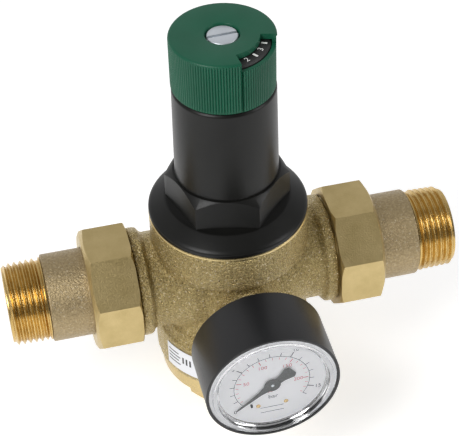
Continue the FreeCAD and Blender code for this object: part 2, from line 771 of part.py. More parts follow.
def bourdon_tube():
    """Flattened tube bent into an arc, fed by a short arm from the socket."""
    low, high = 46.5, 50.0
    outline = [(17.2, low), (19.0, low), (19.0, high), (17.2, high)]
    arc = turned(outline, FRONT, GAUGE_CENTRE, sweep=250)
    arm = face_piece([(6.05, 0), (17.6, 0), (17.6, 3.2), (6.05, 3.2)], low, high)
    return arc.fuse(arm)


BUILDERS = {
    "valve_body": valve_body,
    "label": label,
    "bonnet": bonnet,
    "slip_ring": slip_ring,
    "diaphragm": diaphragm,
    "insert_cage": insert_cage,
    "seat_ring": seat_ring,
    "insert_o_ring": insert_o_ring,
    "valve_stem": valve_stem,
    "piston_o_ring": piston_o_ring,
    "valve_disc_holder": valve_disc_holder,
    "valve_seal": valve_seal,
    "diaphragm_plate": diaphragm_plate,
    "diaphragm_washer": diaphragm_washer,
    "stem_nut": stem_nut,
    "adjusting_spring": adjusting_spring,
    "spring_plate": spring_plate,
    "spindle": spindle,
    "thrust_washer": thrust_washer,
    "adjusting_knob": adjusting_knob,
    "dial_carrier": dial_carrier,
    "setting_dial": setting_dial,
    "knob_screw": knob_screw,
    "filter_bowl": filter_bowl,
    "bowl_o_ring": bowl_o_ring,
    "filter_frame": filter_frame,
    "filter_mesh": filter_mesh,
    "inlet_tail": lambda: union_tail(LEFT),
    "outlet_tail": lambda: union_tail(RIGHT),
    "inlet_nut": lambda: union_nut(LEFT),
    "outlet_nut": lambda: union_nut(RIGHT),
    "inlet_washer": lambda: union_washer(LEFT),
    "outlet_washer": lambda: union_washer(RIGHT),
    "gauge_socket": gauge_socket,
    "gauge_port_seal": lambda: port_seal(FRONT),
    "gauge_case": gauge_case,
    "gauge_lens": gauge_lens,
    "gauge_dial": gauge_dial,
    "pointer_stop": pointer_stop,
    "gauge_pointer": gauge_pointer,
    "pinion_shaft": pinion_shaft,
    "movement_plates": movement_plates,
    "sector_gear": sector_gear,
    "bourdon_tube": bourdon_tube,
    "rear_plug": rear_plug,
    "rear_plug_seal": lambda: port_seal(BACK),
}


def main():
    os.makedirs("parts", exist_ok=True)
    for name, build in BUILDERS.items():
        shape = build()
        solids = shape.Solids
        shape = solids[0] if len(solids) == 1 else shape
        print(f"{name}: {len(solids)} solid, {shape.Volume:.0f} mm3, valid {shape.isValid()}")
        shape.exportStep(f"parts/{name}.step")


main()
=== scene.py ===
import math

import bpy
import numpy as np
from mathutils import Matrix, Vector


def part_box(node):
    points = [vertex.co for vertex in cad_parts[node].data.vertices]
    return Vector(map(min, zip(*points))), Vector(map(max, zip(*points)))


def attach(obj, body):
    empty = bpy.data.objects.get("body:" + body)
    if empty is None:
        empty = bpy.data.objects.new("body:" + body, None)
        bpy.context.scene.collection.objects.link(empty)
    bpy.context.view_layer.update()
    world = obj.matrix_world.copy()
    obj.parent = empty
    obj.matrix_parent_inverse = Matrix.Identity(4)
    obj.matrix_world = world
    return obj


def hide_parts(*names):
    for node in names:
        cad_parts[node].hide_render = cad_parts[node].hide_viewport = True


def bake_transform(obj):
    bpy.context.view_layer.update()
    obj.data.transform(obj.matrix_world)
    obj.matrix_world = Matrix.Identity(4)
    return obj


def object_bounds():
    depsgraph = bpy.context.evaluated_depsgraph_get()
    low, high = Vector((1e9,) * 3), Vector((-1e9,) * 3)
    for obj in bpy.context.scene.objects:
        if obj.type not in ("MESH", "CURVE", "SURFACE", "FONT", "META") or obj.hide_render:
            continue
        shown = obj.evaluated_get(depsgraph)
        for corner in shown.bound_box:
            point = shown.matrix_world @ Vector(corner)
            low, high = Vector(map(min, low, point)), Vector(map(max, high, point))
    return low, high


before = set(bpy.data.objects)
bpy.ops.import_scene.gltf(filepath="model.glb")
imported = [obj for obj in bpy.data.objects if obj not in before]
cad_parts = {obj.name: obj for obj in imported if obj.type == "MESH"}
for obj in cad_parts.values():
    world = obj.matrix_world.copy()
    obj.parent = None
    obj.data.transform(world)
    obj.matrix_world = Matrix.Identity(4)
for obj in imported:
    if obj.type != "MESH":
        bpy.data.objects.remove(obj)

CAD_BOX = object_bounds()
MM = 0.001
UP = Vector((0, 0, 1))
FRONT = Vector((0, -1, 0))
BACK = Vector((0, 1, 0))
LEFT = Vector((-1, 0, 0))
RIGHT = Vector((1, 0, 0))
ORIGIN = Vector((0, 0, 0))
HOUSING = "housing"


def low(node):
    """Lowest corner of a CAD node, in millimetres."""
    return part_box(node)[0] / MM


def high(node):
    """Highest corner of a CAD node, in millimetres."""
    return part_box(node)[1] / MM


# Camera, light and floor ----------------------------------------------------

def make_camera():
    """Camera at the photograph's angle: above and to the left of the front."""
    azimuth, elevation, roll = (math.radians(a) for a in (-12.33, 42.48, -1.87))
    target = Vector((1.20, 3.37, 21.72)) * MM
    distance = 630.4 * MM
    back = Vector((
        math.sin(azimuth) * math.cos(elevation),
        -math.cos(azimuth) * math.cos(elevation),
        math.sin(elevation),
    ))
    level = Vector((math.cos(azimuth), math.sin(azimuth), 0))
    over = back.cross(level)
    right = math.cos(roll) * level + math.sin(roll) * over
    up = back.cross(right)
    data = bpy.data.cameras.new("camera")
    data.sensor_width = 36.0
    data.lens = 125.5
    data.clip_start = 0.01
    data.clip_end = 20.0
    camera = bpy.data.objects.new("camera", data)
    turn = Matrix((right, up, back)).transposed().to_4x4()
    camera.matrix_world = Matrix.Translation(target + back * distance) @ turn
    bpy.context.scene.collection.objects.link(camera)
    bpy.context.scene.camera = camera


def area_light(name, place, aim, size, power):
    data = bpy.data.lights.new(name, "AREA")
    data.shape = "RECTANGLE"
    data.size, data.size_y = size
    data.energy = power
    light = bpy.data.objects.new(name, data)
    direction = (Vector(aim) - Vector(place)).normalized()
    turn = direction.to_track_quat("-Z", "Y").to_matrix().to_4x4()
    light.matrix_world = Matrix.Translation(Vector(place)) @ turn
    bpy.context.scene.collection.objects.link(light)


def make_light():
    """Studio surroundings, brighter behind, with a soft box on each side."""
    world = bpy.data.worlds.new("studio")
    world.use_nodes = True
    tree = world.node_tree
    background = tree.nodes["Background"]
    coordinates = tree.nodes.new("ShaderNodeTexCoord")
    parts = tree.nodes.new("ShaderNodeSeparateXYZ")
    tree.links.new(coordinates.outputs["Generated"], parts.inputs["Vector"])
    depth = spread(tree, parts.outputs["Y"], 0.0, 1.0, -1.0, 1.0)
    shade = ramp(tree, depth, [
        (0.10, (0.16, 0.16, 0.16)), (0.50, (0.40, 0.40, 0.40)), (0.90, (0.68, 0.68, 0.69)),
    ])
    tree.links.new(shade, background.inputs["Color"])
    background.inputs["Strength"].default_value = 1.0
    bpy.context.scene.world = world
    aim = (0, 0, 0.02)
    area_light("key", (-0.60, -0.45, 0.70), aim, (0.4, 0.5), 5.6)
    area_light("fill", (0.80, -0.40, 0.50), aim, (0.3, 0.6), 2.6)
    bpy.context.scene.view_settings.view_transform = "Standard"


# Mesh helpers ---------------------------------------------------------------

def rounded(outline, radius, steps=4, closed=True):
    """Round the corners of an outline of (radius, height) points."""
    count = len(outline)
    result = []
    for index, point in enumerate(outline):
        if not closed and index in (0, count - 1):
            result.append(point)
            continue
        here = Vector(point)
        before = Vector(outline[index - 1]) - here
        after = Vector(outline[(index + 1) % count]) - here
        cut = min(radius, 0.45 * before.length, 0.45 * after.length)
        start = here + before.normalized() * cut
        end = here + after.normalized() * cut
        for step in range(steps + 1):
            t = step / steps
            spot = start.lerp(here, t).lerp(here.lerp(end, t), t)
            result.append(tuple(spot))
    return result


def aimed(toward, at=ORIGIN):
    """Matrix that turns a shape drawn along +Z, in millimetres, to its place."""
    turn = UP.rotation_difference(toward).to_matrix().to_4x4()
    return Matrix.Translation(at * MM) @ turn @ Matrix.Scale(MM, 4)


def new_mesh(name, points, faces, sharp=32):
    mesh = bpy.data.meshes.new(name)
    mesh.from_pydata([tuple(p) for p in points], [], faces)
    mesh.validate()
    mesh.shade_smooth()
    mesh.set_sharp_from_angle(angle=math.radians(sharp))
    piece = bpy.data.objects.new(name, mesh)
    bpy.context.scene.collection.objects.link(piece)
    return piece


def lathe(name, outline, toward=UP, at=ORIGIN, segments=144, closed=True, shape=None, sharp=32):
    """Revolve (radius, height) points; shape(angle, radius, height) may change a radius."""
    points, rows, faces = [], [], []
    for radius, height in outline:
        if radius < 1e-6:
            rows.append([len(points)])
            points.append(Vector((0, 0, height)))
            continue
        rows.append(range(len(points), len(points) + segments))
        for index in range(segments):
            angle = 2 * math.pi * index / segments
            reach = shape(angle, radius, height) if shape else radius
            points.append(Vector((reach * math.cos(angle), reach * math.sin(angle), height)))
    pairs = list(zip(rows, rows[1:]))
    if closed:
        pairs.append((rows[-1], rows[0]))
    for first, second in pairs:
        if len(first) == 1 and len(second) == 1:
            continue
        for index in range(segments):
            following = (index + 1) % segments
            if len(first) == 1:
                faces.append((first[0], second[index], second[following]))
            elif len(second) == 1:
                faces.append((first[index], first[following], second[0]))
            else:
                faces.append((first[index], first[following], second[following], second[index]))
    place = aimed(toward, at)
    piece = new_mesh(name, [place @ p for p in points], faces, sharp)
    face_outwards(piece)
    return piece


def face_outwards(piece):
    """Make all faces of a closed mesh look outwards."""
    import bmesh
    work = bmesh.new()
    work.from_mesh(piece.data)
    bmesh.ops.recalc_face_normals(work, faces=work.faces)
    work.to_mesh(piece.data)
    work.free()


def plate(name, corners, low_z, high_z, toward=UP, at=ORIGIN):
    """Flat piece with a straight-sided outline."""
    count = len(corners)
    points = [Vector((x, y, low_z)) for x, y in corners]
    points += [Vector((x, y, high_z)) for x, y in corners]
    faces = [tuple(range(count)), tuple(range(count, 2 * count))]
    for index in range(count):
        following = (index + 1) % count
        faces.append((index, following, count + following, count + index))
    place = aimed(toward, at)
    piece = new_mesh(name, [place @ p for p in points], faces)
    face_outwards(piece)
    return piece


def settle(piece):
    """Turn a piece's modifiers into its mesh."""
    depsgraph = bpy.context.evaluated_depsgraph_get()
    mesh = bpy.data.meshes.new_from_object(piece.evaluated_get(depsgraph))
    piece.modifiers.clear()
    piece.data = mesh
    return piece


def combine(piece, tool, operation):
    """Boolean with a second piece, which is then removed."""
    modifier = piece.modifiers.new("combine", "BOOLEAN")
    modifier.operation = operation
    modifier.solver = "EXACT"
    modifier.object = tool
    settle(piece)
    bpy.data.objects.remove(tool)
    return piece


def smooth_faces(piece, sharp=32):
    piece.data.shade_smooth()
    piece.data.set_sharp_from_angle(angle=math.radians(sharp))
    return piece


def soften(piece, width, segments=2, limit=30):
    """Small rounded edges all over a piece."""
    modifier = piece.modifiers.new("soften", "BEVEL")
    modifier.width = width * MM
    modifier.segments = segments
    modifier.limit_method = "ANGLE"
    modifier.angle_limit = math.radians(limit)
    return smooth_faces(settle(piece), 40)


def joined(name, pieces):
    """One object from several closed meshes that may touch."""
    points, faces = [], []
    for piece in pieces:
        first = len(points)
        points += [v.co.copy() for v in piece.data.vertices]
        faces += [tuple(first + i for i in p.vertices) for p in piece.data.polygons]
        bpy.data.objects.remove(piece)
    return new_mesh(name, points, faces)


def put(piece, body, material, slot, *nodes):
    """Give a piece its material, its body and the CAD nodes that it stands for."""
    piece.data.materials.clear()
    piece.data.materials.append(material)
    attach(piece, body)
    if nodes:
        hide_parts(*nodes)
    return piece


def flats(width, sides, corner=0.0):
    """Radius of a regular prism at an angle, for its width across the flats."""
    step = 2 * math.pi / sides

    def reach(angle):
        offset = (angle - corner) % step - step / 2
        return width / 2 / math.cos(offset)

    return reach


# Materials ------------------------------------------------------------------

def node(tree, kind, **inputs):
    made = tree.nodes.new(kind)
    for key, value in inputs.items():
        made.inputs[key.replace("_", " ")].default_value = value
    return made


def noise(tree, scale, detail=4.0, roughness=0.55):
    coordinates = tree.nodes.new("ShaderNodeTexCoord")
    made = node(tree, "ShaderNodeTexNoise", Scale=scale, Detail=detail, Roughness=roughness)
    tree.links.new(coordinates.outputs["Object"], made.inputs["Vector"])
    return made.outputs["Fac"]


def ramp(tree, factor, stops):
    """Colour ramp from (position, colour) stops."""
    made = tree.nodes.new("ShaderNodeValToRGB")
    elements = made.color_ramp.elements
    for index, (position, colour) in enumerate(stops):
        element = elements[index] if index < 2 else elements.new(position)
        element.position = position
        element.color = (*colour, 1.0)
    tree.links.new(factor, made.inputs["Fac"])
    return made.outputs["Color"]


def spread(tree, factor, lowest, highest, start=0.3, end=0.7):
    made = node(tree, "ShaderNodeMapRange", From_Min=start, From_Max=end, To_Min=lowest, To_Max=highest)
    tree.links.new(factor, made.inputs["Value"])
    return made.outputs["Result"]


def bump(tree, factor, depth, strength=1.0, under=None):
    made = node(tree, "ShaderNodeBump", Strength=strength, Distance=depth * MM)
    tree.links.new(factor, made.inputs["Height"])
    if under is not None:
        tree.links.new(under, made.inputs["Normal"])
    return made.outputs["Normal"]


def surface(name, stops, metallic, rough, grain=900.0, depth=0.02, patches=60.0, painted_glint_amount=0.0, glow=0.0, gloss=0.5):
    """Surface whose colour and roughness vary in patches, with a fine grain, and optional painted glints: bright specks
    added to the base colour in place of specular highlights.
    """
    material = bpy.data.materials.new(name)
    material.use_nodes = True
    tree = material.node_tree
    shader = tree.nodes["Principled BSDF"]
    shader.inputs["Metallic"].default_value = metallic
    shader.inputs["Emission Color"].default_value = (1.0, 1.0, 1.0, 1.0)
    shader.inputs["Emission Strength"].default_value = glow
    shader.inputs["Specular IOR Level"].default_value = gloss
    broad = noise(tree, patches, 5.0)
    fine = noise(tree, grain, 3.0, 0.6)
    colour = ramp(tree, broad, stops)
    # Painted glints: white noise specks added to the base colour stand in for glints of light on the metal.
    if painted_glint_amount:
        painted_glint_spots = ramp(tree, noise(tree, grain * 0.9, 1.0), [(0.62, (0, 0, 0)), (0.72, (1, 1, 1))])
        mix = node(tree, "ShaderNodeMix")
        mix.data_type = "RGBA"
        mix.blend_type = "ADD"
        mix.inputs["Factor"].default_value = painted_glint_amount
        tree.links.new(colour, mix.inputs["A"])
        tree.links.new(painted_glint_spots, mix.inputs["B"])
        colour = mix.outputs["Result"]
    tree.links.new(colour, shader.inputs["Base Color"])
    tree.links.new(spread(tree, fine, *rough), shader.inputs["Roughness"])
    tree.links.new(bump(tree, fine, depth), shader.inputs["Normal"])
    return material


def glass_surface():
    material = surface("lens_clear", [(0.3, (0.96, 0.97, 0.98)), (0.7, (0.99, 0.99, 1.0))], 0.0, (0.02, 0.05), 300.0, 0.002)
    shader = material.node_tree.nodes["Principled BSDF"]
    shader.inputs["Transmission Weight"].default_value = 1.0
    shader.inputs["IOR"].default_value = 1.45
    return material


def make_materials():
    return {
        # Cast brass carries painted glints: bright specks added to its base colour.
        "cast_brass": surface(
            "cast_brass", [(0.36, (0.33, 0.25, 0.10)), (0.50, (0.45, 0.35, 0.155)), (0.64, (0.58, 0.46, 0.22))],
            0.90, (0.20, 0.42), 1300.0, 1.10, 1500.0, 0.30),
        "nut_brass": surface(
            "nut_brass", [(0.30, (0.49, 0.375, 0.165)), (0.70, (0.59, 0.46, 0.22))],
            0.90, (0.30, 0.46), 1500.0, 0.10, 120.0),
        "bright_brass": surface(
            "bright_brass", [(0.30, (0.58, 0.45, 0.21)), (0.70, (0.68, 0.54, 0.28))],
            1.0, (0.24, 0.36), 1600.0, 0.006, 40.0),
        # The tails carry weaker painted glints: bright specks added to the base colour.
        "tail_brass": surface(
            "tail_brass", [(0.34, (0.31, 0.235, 0.125)), (0.66, (0.44, 0.34, 0.19))],
            0.80, (0.32, 0.54), 1300.0, 0.35, 1100.0, 0.12),
        "thread_brass": surface(
            "thread_brass", [(0.30, (0.52, 0.35, 0.12)), (0.70, (0.70, 0.50, 0.20))],
            1.0, (0.20, 0.34), 1600.0, 0.01, 120.0),
        "black_plastic": surface(
            "black_plastic", [(0.30, (0.0055, 0.0055, 0.005)), (0.70, (0.009, 0.009, 0.008))],
            0.0, (0.30, 0.38), 1800.0, 0.006, 60.0, gloss=0.24),
        "green_plastic": surface(
            "green_plastic", [(0.30, (0.006, 0.084, 0.044)), (0.70, (0.009, 0.102, 0.055))],
            0.0, (0.34, 0.42), 1800.0, 0.006, 60.0, gloss=0.28),
        "dial_plastic": surface(
            "dial_plastic", [(0.30, (0.010, 0.010, 0.010)), (0.70, (0.016, 0.016, 0.016))],
            0.0, (0.42, 0.55), 1500.0, 0.006),
        "white_print": surface(
            "white_print", [(0.30, (0.84, 0.84, 0.82)), (0.70, (0.90, 0.90, 0.88))],
            0.0, (0.45, 0.55), 1500.0, 0.002),
        "black_print": surface(
            "black_print", [(0.30, (0.02, 0.02, 0.022)), (0.70, (0.035, 0.035, 0.04))],
            0.0, (0.45, 0.55), 1500.0, 0.002),
        "red_print": surface(
            "red_print", [(0.30, (0.62, 0.10, 0.12)), (0.70, (0.72, 0.16, 0.18))],
            0.0, (0.45, 0.55), 1500.0, 0.002),
        "zinc_steel": surface(
            "zinc_steel", [(0.30, (0.58, 0.62, 0.66)), (0.70, (0.68, 0.72, 0.76))],
            0.75, (0.34, 0.50), 1400.0, 0.01, 200.0),
        "fibre_seal": surface(
            "fibre_seal", [(0.30, (0.16, 0.05, 0.04)), (0.70, (0.24, 0.09, 0.06))],
            0.0, (0.6, 0.8), 1500.0, 0.03, 200.0),
        "label_film": surface(
            "label_film", [(0.30, (0.78, 0.79, 0.83)), (0.70, (0.86, 0.87, 0.90))],
            0.0, (0.28, 0.36), 800.0, 0.004),
        "gauge_black": surface(
            "gauge_black", [(0.30, (0.007, 0.007, 0.008)), (0.70, (0.010, 0.010, 0.011))],
            0.0, (0.33, 0.42), 1500.0, 0.008, 80.0),
        # The gauge dial face glows slightly: painted brightness from emission, not a lamp.
        "dial_white": surface(
            "dial_white", [(0.30, (0.92, 0.92, 0.94)), (0.70, (0.96, 0.96, 0.98))],
            0.0, (0.40, 0.50), 900.0, 0.002, glow=0.14),
        "pointer_grey": surface(
            "pointer_grey", [(0.30, (0.12, 0.13, 0.13)), (0.70, (0.15, 0.16, 0.16))],
            0.1, (0.42, 0.52), 1500.0, 0.006),
        "lens_clear": glass_surface(),
        "inner_plastic": surface(
            "inner_plastic", [(0.30, (0.60, 0.58, 0.50)), (0.70, (0.72, 0.70, 0.62))],
            0.0, (0.40, 0.50), 1200.0, 0.01),
        "inner_rubber": surface(
            "inner_rubber", [(0.30, (0.018, 0.018, 0.018)), (0.70, (0.03, 0.03, 0.03))],
            0.0, (0.55, 0.70), 1500.0, 0.02),
        "inner_steel": surface(
            "inner_steel", [(0.30, (0.42, 0.42, 0.42)), (0.70, (0.58, 0.58, 0.58))],
            1.0, (0.28, 0.42), 1500.0, 0.006),
        "floor": surface(
            "floor", [(0.30, (0.90, 0.90, 0.90)), (0.70, (0.93, 0.93, 0.93))],
            0.0, (0.75, 0.90), 30.0, 0.01, 3.0, glow=0.45),
    }


# Cast body ------------------------------------------------------------------

BODY_TOP = high("valve_body").z
BODY_BASE = low("valve_body").z
BODY_END = high("valve_body").x
RING_R = 31.0
BAND_R = 31.2
WAIST_R = 24.2
NECK_R = 19.2
COLLAR_R = 20.95
COLLAR_START = 36.5
GUARD_R = 21.7
NUT_START = low("outlet_nut").x
BOSS_R = 11.5
BOSS_END = 31.0
PORT_R = 6.7
PIPE_BORE_R = 13.0
CHAMBER_R = 18.0
GAUGE_CENTRE = Vector((0, 0, (low("gauge_case").z + high("gauge_case").z) / 2))


def casting(material):
    """Body casting: blended from its band, waist, ring, necks and bosses."""
    top = BODY_TOP - 0.9
    core = lathe("body_casting", [
        (0, BODY_BASE),
        (BAND_R - 0.8, BODY_BASE),
        (BAND_R - 0.1, BODY_BASE + 1.0),
        (BAND_R - 0.1, -23.0),
        (BAND_R - 1.6, -21.6),
        (BAND_R - 2.2, -18.4),
        (BAND_R - 4.6, -16.6),
        (BAND_R - 5.4, -12.8),
        (WAIST_R + 0.3, -10.8),
        (WAIST_R - 0.6, 0),
        (WAIST_R - 0.4, 12.0),
        (RING_R - 4.5, 13.4),
        (RING_R - 0.5, 14.9),
        (RING_R - 0.1, 16.4),
        (RING_R - 0.1, top),
        (0, top),
    ])
    for toward in (LEFT, RIGHT):
        neck = lathe("neck", [
            (0, 0), (22.0, 0), (22.0, 19.0), (20.6, 24.0), (NECK_R, 28.0),
            (NECK_R, COLLAR_START - 2.5), (GUARD_R, COLLAR_START - 1.0), (GUARD_R, NUT_START - 0.5),
            (NECK_R - 3.0, NUT_START - 0.5), (NECK_R - 3.0, BODY_END - 1),
            (0, BODY_END - 1),
        ], toward)
        combine(core, neck, "UNION")
    for toward in (FRONT, BACK):
        boss = lathe("boss", [
            (0, 0), (15.0, 0), (15.0, 20.0), (BOSS_R + 1.2, 24.0), (BOSS_R, 26.0),
            (BOSS_R, BOSS_END - 0.3), (0, BOSS_END - 0.3),
        ], toward, GAUGE_CENTRE)
        combine(core, boss, "UNION")
    shoulder = lathe("shoulder", [(0, -22.0), (28.4, -22.0), (25.6, -8.0), (0, -8.0)])
    combine(core, shoulder, "UNION")
    remesh = core.modifiers.new("remesh", "REMESH")
    remesh.mode = "VOXEL"
    remesh.voxel_size = 0.62 * MM
    smooth = core.modifiers.new("smooth", "SMOOTH")
    smooth.factor = 0.5
    smooth.iterations = 6
    settle(core)
    roughen(core, 0.13)
    for toward in (LEFT, RIGHT):
        bore = lathe("bore", [(0, 8.0), (PIPE_BORE_R, 8.0), (PIPE_BORE_R, 60), (0, 60)], toward)
        combine(core, bore, "DIFFERENCE")
    for toward in (FRONT, BACK):
        port = lathe("port", [(0, 21.0), (PORT_R, 21.0), (PORT_R, 40), (0, 40)], toward, GAUGE_CENTRE)
        combine(core, port, "DIFFERENCE")
    recess = lathe("recess", [(0, 20.0), (27.0, 20.0), (27.0, 40.0), (0, 40.0)])
    combine(core, recess, "DIFFERENCE")
    bowl_bore = lathe("bowl_bore", [(0, -60.0), (24.1, -60.0), (24.1, -25.0), (0, -25.0)])
    combine(core, bowl_bore, "DIFFERENCE")
    core.name = "body_casting"
    return put(smooth_faces(core, 40), HOUSING, material, "cast_brass", "valve_body")


def roughen(piece, depth):
    """Low uneven waves of a sand casting, from a few fixed sine waves."""
    mesh = piece.data
    count = len(mesh.vertices)
    co = np.empty(count * 3)
    normals = np.empty(count * 3)
    mesh.vertices.foreach_get("co", co)
    mesh.vertices.foreach_get("normal", normals)
    co, normals = co.reshape(-1, 3), normals.reshape(-1, 3)
    rng = np.random.default_rng(7)
    height = np.zeros(count)
    for _ in range(26):
        wave = rng.normal(size=3)
        wave *= rng.uniform(500, 2200) / np.linalg.norm(wave)
        height += np.sin(co @ wave + rng.uniform(0, 6.28))
    height *= depth * MM / math.sqrt(26)
    inward = np.minimum(height, 0.04 * MM)
    mesh.vertices.foreach_set("co", (co + normals * inward[:, None]).ravel())
    mesh.update()


def body_lip(material):
    """Machined rim at the top of the body, under the bonnet's flange."""
    outline = rounded([
        (27.0, BODY_TOP - 3.0), (RING_R - 0.35, BODY_TOP - 3.0), (RING_R - 0.35, BODY_TOP - 0.95),
        (RING_R, BODY_TOP - 0.8), (RING_R - 0.3, BODY_TOP), (27.0, BODY_TOP),
    ], 0.12, 2)
    put(lathe("body_lip", outline, segments=192), HOUSING, material, "bright_brass")


def thread_reach(major, depth, pitch, start, end, taper=0.0, hand=1):
    """Radius of a screw thread with rounded crests, run out at both ends."""
    def reach(angle, radius, height):
        if radius < major - depth - 0.3:
            return radius
        phase = (height / pitch - hand * angle / (2 * math.pi)) % 1.0
        ridge = 1 - abs(2 * phase - 1)
        ridge = min(max((ridge - 0.12) / 0.76, 0.0), 1.0)
        fade = min(max((height - start) / 1.2, 0.0), 1.0) * min(max((end - height) / 0.8, 0.0), 1.0)
        return major - taper * (height - start) - depth * (1 - ridge * fade)
    return reach


def body_collars(material):
    """Threaded ends of the body inside the union nuts, with a bevelled start."""
    for name, toward in (("inlet_collar", LEFT), ("outlet_collar", RIGHT)):
        rows = [COLLAR_START + 2.2 + index * 0.23 for index in range(int(11.0 / 0.23))]
        outline = [(PIPE_BORE_R, COLLAR_START), (NECK_R - 0.4, COLLAR_START), (COLLAR_R - 0.7, COLLAR_START + 0.1),
                   (COLLAR_R - 0.1, COLLAR_START + 0.8), (COLLAR_R - 0.1, COLLAR_START + 2.1)]
        outline += [(COLLAR_R, height) for height in rows]
        outline += [(NECK_R, BODY_END - 0.6), (NECK_R - 1, BODY_END), (PIPE_BORE_R, BODY_END)]
        thread = thread_reach(COLLAR_R - 0.05, 1.3, 2.309, rows[0], rows[-1])

        def shape(angle, radius, height, thread=thread, first=rows[0]):
            return thread(angle, radius, height) if radius > COLLAR_R - 0.05 and height >= first else radius

        put(lathe(name, outline, toward, shape=shape), HOUSING, material, "nut_brass")


# Pipe unions ----------------------------------------------------------------

TAIL_END = high("outlet_tail").x
TAIL_START = low("outlet_tail").x
TAIL_COLLAR_R = high("outlet_tail").z
THREAD_MAJOR = 16.6
THREAD_DEPTH = 1.35
THREAD_PITCH = 2.309
THREAD_START = 75.6
TAIL_R = 17.4


def union_tail(name, toward, plain, machined):
    """Union tail: cast tube, machined groove and a tapered pipe thread."""
    tube = rounded([
        (PIPE_BORE_R, TAIL_START), (TAIL_COLLAR_R, TAIL_START), (TAIL_COLLAR_R, 55.2), (TAIL_R, 55.2),
        (TAIL_R, 74.2), (THREAD_MAJOR - 0.6, 74.6), (PIPE_BORE_R, 74.6),
    ], 0.35, 3)
    put(lathe(name + "_tube", tube, toward), HOUSING, plain, "tail_brass", name)
    root = THREAD_MAJOR - THREAD_DEPTH
    count = 92
    step = (TAIL_END - 0.7 - THREAD_START) / count
    rows = [THREAD_START + index * step for index in range(count + 1)]
    outline = [(PIPE_BORE_R, 74.5), (THREAD_MAJOR - 0.7, 74.5), (THREAD_MAJOR - 0.15, 74.7),
               (THREAD_MAJOR - 0.15, 75.2), (root, 75.5)]
    outline += [(THREAD_MAJOR, height) for height in rows]
    outline += [(root - 0.4, TAIL_END), (PIPE_BORE_R + 0.5, TAIL_END), (PIPE_BORE_R, TAIL_END - 0.5)]
    thread = thread_reach(THREAD_MAJOR, THREAD_DEPTH, THREAD_PITCH, THREAD_START, TAIL_END - 0.4, 1 / 32)

    def shape(angle, radius, height):
        return thread(angle, radius, height) if radius == THREAD_MAJOR else radius

    put(lathe(name + "_thread", outline, toward, segments=160, shape=shape, sharp=50), HOUSING, machined, "bright_brass")


NUT_FLATS = 47.2
NUT_END = high("outlet_nut").x


def union_nut(name, toward, material):
    """Octagonal nut with turned bevels at both ends."""
    corner_r = NUT_FLATS / 2 / math.cos(math.pi / 8)
    eight = flats(NUT_FLATS, 8, math.pi / 8)
    blank = octagon_blank(name + "_forging", eight, toward)
    turned = lathe("turned", [
        (0, NUT_START), (corner_r - 1.5, NUT_START), (corner_r + 0.3, NUT_START + 1.1),
        (corner_r + 0.3, NUT_END - 2.1), (corner_r - 3.4, NUT_END), (0, NUT_END),
    ], toward, segments=192)
    combine(blank, turned, "INTERSECT")
    combine(blank, lathe("bore", [(0, 0), (21.05, 0), (21.05, 55.4), (0, 55.4)], toward), "DIFFERENCE")
    hole = lathe("hole", [(0, 40), (TAIL_R + 0.3, 40), (TAIL_R + 0.3, 70), (0, 70)], toward)
    combine(blank, hole, "DIFFERENCE")
    soften(blank, 0.3, 2, 24)
    put(blank, name, material, "nut_brass", name)


def octagon_blank(name, reach, toward):
    corners = []
    for index in range(8):
        angle = math.pi / 8 + index * math.pi / 4
        corners.append((reach(angle) * math.cos(angle), reach(angle) * math.sin(angle)))
    return plate(name, corners, NUT_START, NUT_END, toward)


def union_washers(material):
    for name, toward in (("inlet_washer", LEFT), ("outlet_washer", RIGHT)):
        outline = rounded([(PIPE_BORE_R + 0.3, BODY_END), (19.4, BODY_END), (19.4, TAIL_START), (PIPE_BORE_R + 0.3, TAIL_START)], 0.2, 2)
        put(lathe(name + "_ring", outline, toward), HOUSING, material, "fibre_seal", name)


# Bonnet ---------------------------------------------------------------------

FLANGE_R = high("bonnet").x
BONNET_TOP = high("bonnet").z
FLANGE_TOP = 35.0
FLANGE_NECK_R = 24.4
FLANGE_NECK = 38.4
WRENCH_TOP = 51.6
WRENCH_BEVEL = 3.6
TUBE_TOP = 91.6
TUBE_FOOT_R = 19.9
TUBE_HEAD_R = 19.4
WRENCH_FLATS = 41.6
WRENCH_CORNER = math.radians(-13)


